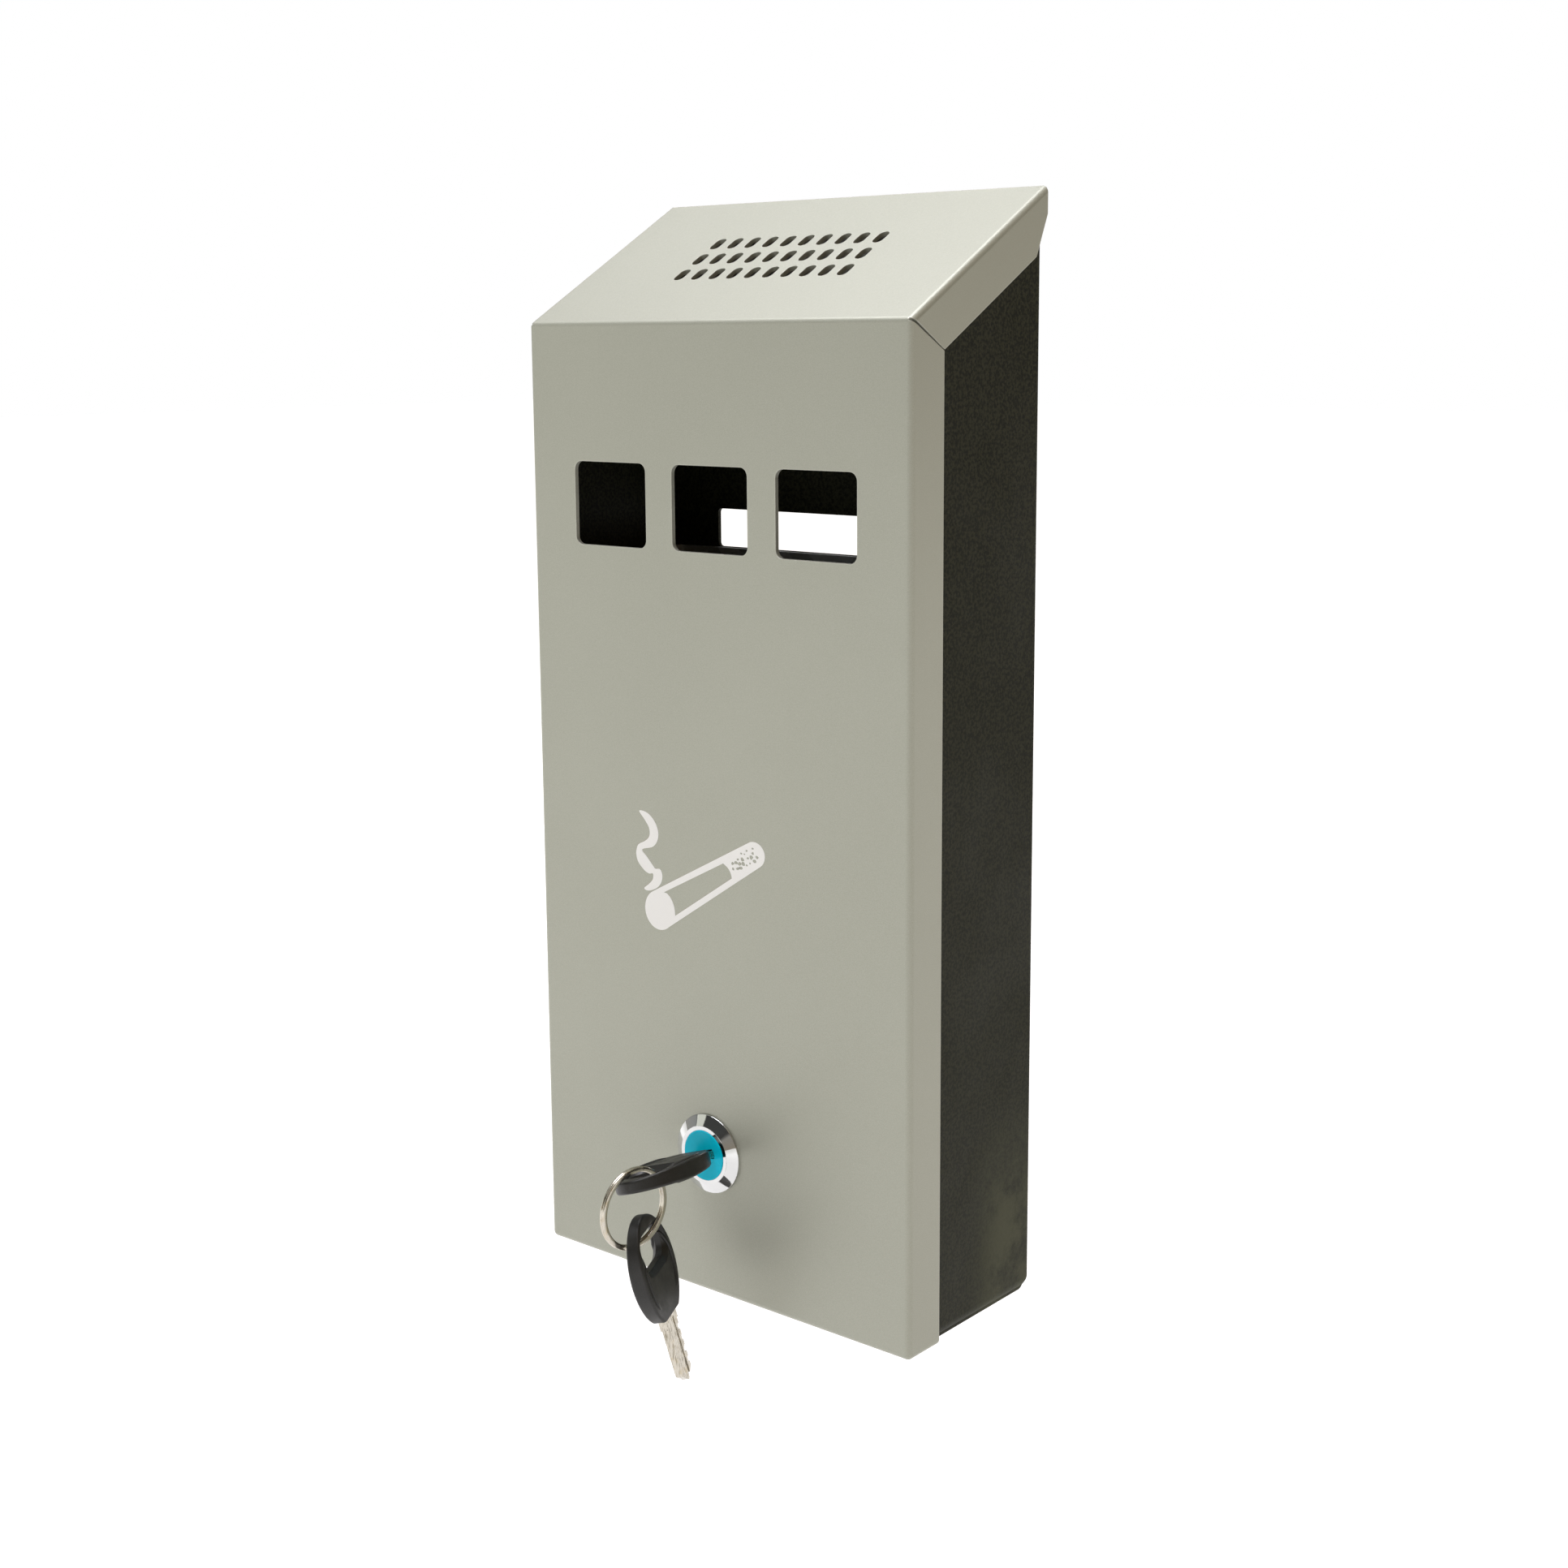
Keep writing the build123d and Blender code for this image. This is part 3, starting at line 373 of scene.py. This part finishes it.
def white_print():
    """White screen ink, a little thin in places."""
    m = Mat("white_screen_ink")
    weave = m.noise(2600.0, 2.0, 0.5)
    thin = m.noise(160.0, 4.0, 0.6)
    base = m.mix(m.span(thin, 0.60, 0.85, 0.0, 0.35), (0.82, 0.82, 0.80), (0.66, 0.66, 0.61))
    m.set("Base Color", base)
    m.set("Roughness", m.span(weave, 0.3, 0.7, 0.46, 0.60))
    m.set("Normal", m.bump(weave, 0.00002, 0.4))
    return m.mat


MATERIALS = {
    "silver_paint": silver_paint(),
    "black_paint": black_paint(),
    "galvanised": galvanised(),
    "zinc_steel": zinc_steel(),
    "chrome": chrome(),
    "plug_metal": plug_metal(),
    "teal_plastic": teal_plastic(),
    "black_plastic": black_plastic(),
    "nickel": nickel("nickel_plate", 1.0),
    "bright_nickel": nickel("bright_nickel_wire", 0.25),
    "white_print": white_print(),
}
FINISH = {
    "silver_paint": ["front_cover"],
    "black_paint": ["back_body", "bottom_panel"],
    "galvanised": ["inner_bucket"],
    "zinc_steel": ["strike_bracket", "strike_rivets", "body_hinge_leaf", "body_hinge_rivets",
                   "cover_hinge_leaf", "hinge_pin", "lock_washer", "lock_nut", "cam",
                   "cam_washer", "cam_screw"],
    "chrome": ["lock_housing"],
    "plug_metal": ["lock_plug"],
    "teal_plastic": ["lock_face_insert"],
    "black_plastic": ["key_bow", "spare_key_bow"],
    "nickel": ["key_blade", "spare_key_blade", "split_ring"],
}
for finish, names in FINISH.items():
    for node in names:
        NODES[node].data.materials.clear()
        NODES[node].data.materials.append(MATERIALS[finish])


def finished(obj, body, slot, finish=None):
    """Material, body and slot of a new piece."""
    obj.data.materials.clear()
    obj.data.materials.append(MATERIALS[finish or slot])
    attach(obj, body)
    return obj


# ---------------------------------------------------------------- printed pictogram


def rounded_path(points, turns=8):
    """Closed Catmull-Rom path through the points."""
    out = []
    n = len(points)
    for i in range(n):
        p0, p1, p2, p3 = (Vector(points[(i + k - 1) % n]) for k in range(4))
        for k in range(turns):
            t = k / turns
            out.append(0.5 * (2 * p1 + (p2 - p0) * t + (2 * p0 - 5 * p1 + 4 * p2 - p3) * t * t
                              + (3 * p1 - p0 - 3 * p2 + p3) * t ** 3))
    return out


def ink(name, outlines, at, lift):
    """Flat printed shape in millimetres (right, up) from `at`, on a face that looks along -Y."""
    curve = bpy.data.curves.new(name, "CURVE")
    curve.dimensions = "2D"
    curve.fill_mode = "BOTH"
    curve.extrude = lift / 2
    for points in outlines:
        s = curve.splines.new("POLY")
        s.points.add(len(points) - 1)
        for p, q in zip(s.points, points):
            p.co = (q[0] * MM, q[1] * MM, 0.0, 1.0)
        s.use_cyclic_u = True
    shape = bpy.data.objects.new(name + "_outline", curve)
    link(shape)
    bpy.context.view_layer.update()
    mesh = bpy.data.meshes.new_from_object(shape.evaluated_get(
        bpy.context.evaluated_depsgraph_get()))
    bpy.data.objects.remove(shape)
    mesh.transform(Matrix.Translation(at) @ Matrix.Rotation(math.radians(90), 4, "X"))
    mesh.name = name
    return link(bpy.data.objects.new(name, mesh))


COVER_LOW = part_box("front_cover")[0]
INK = 0.00006
SIGN = Vector((COVER_LOW.x + 0.0452, COVER_LOW.y - INK / 2, COVER_LOW.z + 0.1055))


def ring_points(cx, cy, rx, ry, start, end, count):
    """Points along an elliptical arc, angles in degrees."""
    out = []
    for i in range(count + 1):
        a = math.radians(start + (end - start) * i / count)
        out.append((cx + rx * math.cos(a), cy + ry * math.sin(a)))
    return out


def cigarette():
    """Outline of the cigarette, and the clear space between its ends."""
    outer = ring_points(0.0, 0.0, 5.3, 5.5, 118, 310, 26)
    outer += ring_points(34.0, 20.3, 3.8, 3.5, -50, 110, 20)
    clear = [(1.8, 5.3), (23.3, 16.5)] + ring_points(21.9, 12.6, 4.4, 4.0, 64, 4, 8)
    clear += [(5.8, -0.65)] + ring_points(0.0, 0.0, 5.75, 5.95, -6, 60, 10)[1:]
    return outer, clear


def flecks():
    """Small clear flecks of the printed filter patch."""
    rng = random.Random(11)
    out = []
    for _ in range(300):
        u = rng.uniform(-5.0, 4.8)
        v = rng.uniform(-2.0, 1.9)
        if abs(v) > 2.1 - 0.040 * (u - 0.5) ** 2:
            continue
        cx = 30.6 + u * 0.883 - v * 0.469
        cy = 18.7 + u * 0.469 + v * 0.883
        size = rng.uniform(0.24, 0.56)
        turn = rng.random() * math.pi
        blob = []
        for i in range(7):
            a = turn + i * 2 * math.pi / 7
            r = size * rng.uniform(0.65, 1.3)
            blob.append((cx + 1.3 * r * math.cos(a), cy + r * math.sin(a)))
        out.append(blob)
    return out


def apart(blobs, gap):
    """The blobs that stay clear of the ones before them."""
    kept = []
    for blob in blobs:
        c = Vector((sum(p[0] for p in blob), sum(p[1] for p in blob))) / len(blob)
        if all((c - d).length > gap for _, d in kept):
            kept.append((blob, c))
    return [b for b, _ in kept]


FLECK_GAP = 1.12
SMOKE = rounded_path([
    (-6.9, 26.6), (-5.6, 26.9), (-3.4, 26.3), (-1.2, 24.4), (0.0, 21.8), (-0.3, 19.4),
    (-2.2, 17.3), (-6.0, 16.1), (-4.2, 14.2), (-2.2, 12.2), (-1.3, 11.4), (0.4, 11.5),
    (1.3, 10.0), (0.9, 8.0), (-0.7, 6.2), (-3.3, 5.0), (-5.0, 4.9), (-5.4, 5.5), (-3.7, 6.8),
    (-2.3, 8.3), (-2.2, 9.9), (-3.6, 9.7), (-5.4, 10.4), (-7.6, 12.4), (-8.3, 14.6),
    (-7.9, 16.6), (-7.0, 17.6), (-4.8, 18.7), (-3.3, 20.2), (-3.3, 22.3), (-4.8, 24.4),
])
OUTER, CLEAR = cigarette()
sign = ink("pictogram_cigarette", [OUTER, CLEAR] + apart(flecks(), FLECK_GAP), SIGN, INK)
finished(sign, "cover", "white_print")
smoke = ink("pictogram_smoke", [SMOKE], SIGN, INK)
finished(smoke, "cover", "white_print")


# ---------------------------------------------------------------- split ring


def split_ring():
    """Two flat turns of spring wire side by side, stepped across where the wire begins."""
    co = [v.co.copy() for v in NODES["split_ring"].data.vertices]
    centre = sum(co, Vector()) / len(co)
    far = max(co, key=lambda p: (p - centre).length_squared)
    outer = (far - centre).length
    normal = Vector(JOINTS["ring_swing"]["axis"]).normalized()
    level = normal.cross(Vector((0, 0, 1))).normalized()
    wire = 1.6 * MM
    mid = outer - wire / 2
    wide = 0.74 * MM
    tall = 1.46 * MM
    pitch = 0.39 * MM
    turns = 1.97
    steps = 220
    section = []
    r = 0.26 * MM
    for cx, cy, start in ((1, 1, 0), (-1, 1, 90), (-1, -1, 180), (1, -1, 270)):
        for k in range(4):
            a = math.radians(start + 30 * k)
            section.append((cx * (wide / 2 - r) + r * math.cos(a),
                            cy * (tall / 2 - r) + r * math.sin(a)))
    verts = []
    begin = math.radians(118)
    for i in range(steps + 1):
        t = i / steps
        a = begin + turns * 2 * math.pi * t
        side = (2 / (1 + math.exp(-26 * (t - 0.5))) - 1) * pitch
        out = level * math.cos(a) + Vector((0, 0, 1)) * math.sin(a)
        end = min(t, 1 - t) * steps
        slim = 0.55 + 0.45 * min(end / 4.0, 1.0)
        for u, v in section:
            verts.append(centre + out * (mid + v * slim) + normal * (side + u * slim))
    return mesh_object("split_ring_turns", verts, tube_faces(0, steps + 1, len(section)), 50.0)


ring = finished(split_ring(), "ring", "nickel", "bright_nickel")
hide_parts("split_ring")


# ---------------------------------------------------------------- raised rims of the key grips


RIM_R = 0.60 * MM
RIM_HEIGHT = 0.42 * MM
RIM_START = 48.0
RIM_SWEEP = 82.0
RIM_STEPS = 44
RIM_SIDES = 10
RIM_END = 0.16


def grip_axes(node, blade):
    """Middle of a grip, its axes (to the blade, across, through) and its half sizes along them."""
    co = np.array([v.co for v in NODES[node].data.vertices])
    middle = (co.max(0) + co.min(0)) / 2
    spread = np.linalg.eigh(np.cov((co - middle).T))[1]
    along, across, through = (Vector(spread[:, i]) for i in (2, 1, 0))
    low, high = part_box(blade)
    if along.dot((low + high) / 2 - Vector(middle)) < 0:
        along = -along
    reach = [(co @ np.array(d)) for d in (along, across, through)]
    mid = sum((d * float(r.max() + r.min()) / 2
               for d, r in zip((along, across, through), reach)), Vector())
    half = [float(r.max() - r.min()) / 2 for r in reach]
    return mid, along, across, through, half


def rim_path(skin, axes, side, face):
    """Points on one face of a grip just inside one long edge, with how near each is to an end."""
    mid, along, across, through, half = axes
    oval = half[0] * 1.07
    path = []
    for i in range(RIM_STEPS + 1):
        a = math.radians(RIM_START + RIM_SWEEP * i / RIM_STEPS)
        p = mid + along * ((oval - 1.6 * MM) * math.cos(a) + oval - half[0])
        p += across * side * (half[1] - 2.0 * MM) * math.sin(a)
        hit = skin.ray_cast(p + through * face * 10 * MM, through * -face)
        if hit[0] is not None:
            path.append((hit[0], min(i, RIM_STEPS - i) / RIM_STEPS))
    return path


def rims(node, blade):
    """Four low ridges just inside a grip's long edges, tapered into its crowned faces."""
    axes = grip_axes(node, blade)
    through = axes[3]
    mesh = NODES[node].data
    skin = BVHTree.FromPolygons([v.co for v in mesh.vertices],
                                [tuple(p.vertices) for p in mesh.polygons])
    verts, faces = [], []
    for side, face in ((1, 1), (1, -1), (-1, 1), (-1, -1)):
        first = len(verts)
        up = through * face
        path = rim_path(skin, axes, side, face)
        for i, (p, end) in enumerate(path):
            q, o = path[min(i + 1, len(path) - 1)][0], path[max(i - 1, 0)][0]
            flat = (q - o).normalized().cross(up).normalized()
            grow = min(end / RIM_END, 1.0) ** 0.5
            r = RIM_R * (0.25 + 0.75 * grow)
            base = p + up * (RIM_HEIGHT * grow - r)
            for k in range(RIM_SIDES):
                a = 2 * math.pi * k / RIM_SIDES
                verts.append(base + flat * r * math.cos(a) + up * r * math.sin(a))
        faces += tube_faces(first, len(path), RIM_SIDES)
    return mesh_object(node + "_rims", verts, faces, 60.0)


finished(rims("key_bow", "key_blade"), "key", "black_plastic")
finished(rims("spare_key_bow", "spare_key_blade"), "spare_key", "black_plastic")


# ---------------------------------------------------------------- stage, light and camera


def panel(name, centre, target, width, height, power, colour):
    """Rectangular soft light at `centre`, aimed at `target`."""
    light = bpy.data.lights.new(name, "AREA")
    light.shape = "RECTANGLE"
    light.size = width
    light.size_y = height
    light.energy = power
    light.color = colour
    obj = link(bpy.data.objects.new(name, light))
    obj.location = centre
    aim = Vector(target) - Vector(centre)
    obj.rotation_mode = "QUATERNION"
    obj.rotation_quaternion = aim.to_track_quat("-Z", "Y")
    return obj


FLOOR_HALF = 12.0
FLOOR_BELOW = 0.16


def floor():
    """Pale floor that glows, weakly under the object and more strongly further out, so that it
    fades to white.
    """
    mesh = bpy.data.meshes.new("floor")
    r = FLOOR_HALF
    z = CAD_BOX[0].z - FLOOR_BELOW
    mesh.from_pydata([(-r, -r, z), (r, -r, z), (r, r, z), (-r, r, z)], [], [(0, 1, 2, 3)])
    obj = link(bpy.data.objects.new("floor", mesh))
    m = Mat("pale_floor")
    grain = m.noise(60.0, 3.0, 0.5)
    m.set("Base Color", m.mix(grain, (0.90, 0.90, 0.895), (0.93, 0.93, 0.925)))
    m.set("Roughness", 0.9)
    # painted glow: the floor emits light, rising with the distance from the object
    m.set("Emission Color", (1.0, 1.0, 1.0, 1.0))
    far = m.node("ShaderNodeVectorMath", **{"0": m.coord})
    far.operation = "LENGTH"
    m.set("Emission Strength", m.span(far.outputs["Value"], 0.45, 1.6, 0.22, 0.75))
    mesh.materials.append(m.mat)


def surroundings():
    """White to the eye; for light and reflections a studio that is brighter above."""
    world = bpy.data.worlds.new("studio")
    bpy.context.scene.world = world
    world.use_nodes = True
    t = world.node_tree
    out = t.nodes["World Output"]
    back = t.nodes["Background"]
    back.inputs["Color"].default_value = (1.0, 1.0, 1.0, 1.0)
    back.inputs["Strength"].default_value = 1.0
    soft = t.nodes.new("ShaderNodeBackground")
    coord = t.nodes.new("ShaderNodeTexCoord")
    split = t.nodes.new("ShaderNodeSeparateXYZ")
    t.links.new(coord.outputs["Generated"], split.inputs[0])
    ramp = t.nodes.new("ShaderNodeValToRGB")
    lift = t.nodes.new("ShaderNodeMapRange")
    lift.inputs[1].default_value = -1.0
    lift.inputs[2].default_value = 1.0
    t.links.new(split.outputs["Z"], lift.inputs[0])
    t.links.new(lift.outputs[0], ramp.inputs[0])
    stops = ramp.color_ramp.elements
    stops[0].position = 0.50
    stops[0].color = (0.40, 0.39, 0.36, 1)
    stops[1].position = 1.0
    stops[1].color = (0.70, 0.70, 0.68, 1)
    for place, level in ((0.62, 0.36), (0.65, 0.07), (0.76, 0.07), (0.80, 0.55)):
        stops.new(place).color = (level, level, level * 0.96, 1)
    warm = t.nodes.new("ShaderNodeMix")
    warm.data_type = "RGBA"
    warm.blend_type = "MULTIPLY"
    side = t.nodes.new("ShaderNodeMapRange")
    side.inputs[1].default_value = -0.1
    side.inputs[2].default_value = 0.8
    t.links.new(split.outputs["X"], side.inputs[0])
    t.links.new(side.outputs[0], warm.inputs[0])
    t.links.new(ramp.outputs[0], warm.inputs[6])
    warm.inputs[7].default_value = (0.60, 0.37, 0.10, 1)
    t.links.new(warm.outputs[2], soft.inputs["Color"])
    path = t.nodes.new("ShaderNodeLightPath")
    both = t.nodes.new("ShaderNodeMixShader")
    t.links.new(path.outputs["Is Camera Ray"], both.inputs[0])
    t.links.new(soft.outputs[0], both.inputs[1])
    t.links.new(back.outputs[0], both.inputs[2])
    t.links.new(both.outputs[0], out.inputs["Surface"])


def camera():
    """The photograph's viewpoint: right of the front and a little above."""
    data = bpy.data.cameras.new("camera")
    data.lens = 50.5
    data.sensor_width = 36.0
    data.shift_y = -0.042
    data.clip_start = 0.01
    data.clip_end = 50.0
    obj = link(bpy.data.objects.new("camera", data))
    yaw, pitch, roll = (math.radians(v) for v in (39.84, 9.735, -0.396))
    turn = Matrix.Rotation(yaw, 3, "Z") @ Matrix.Rotation(math.radians(90) - pitch, 3, "X")
    turn = turn @ Matrix.Rotation(roll, 3, "Z")
    obj.matrix_world = Matrix.Translation((0.3786, -0.4856, 0.1079)) @ turn.to_4x4()
    bpy.context.scene.camera = obj


floor()
surroundings()
panel("key_light", (-0.35, -0.15, 1.7), (0.0, -0.03, 0.0), 1.3, 1.1, 37.0, (1.0, 0.985, 1.05))
panel("front_light", (-1.5, -1.2, 0.5), (0.0, -0.03, 0.0), 0.5, 1.2, 1.6, (1.0, 1.0, 0.88))
camera()
bpy.context.scene.view_settings.view_transform = "Standard"
bpy.context.scene.view_settings.look = "None"
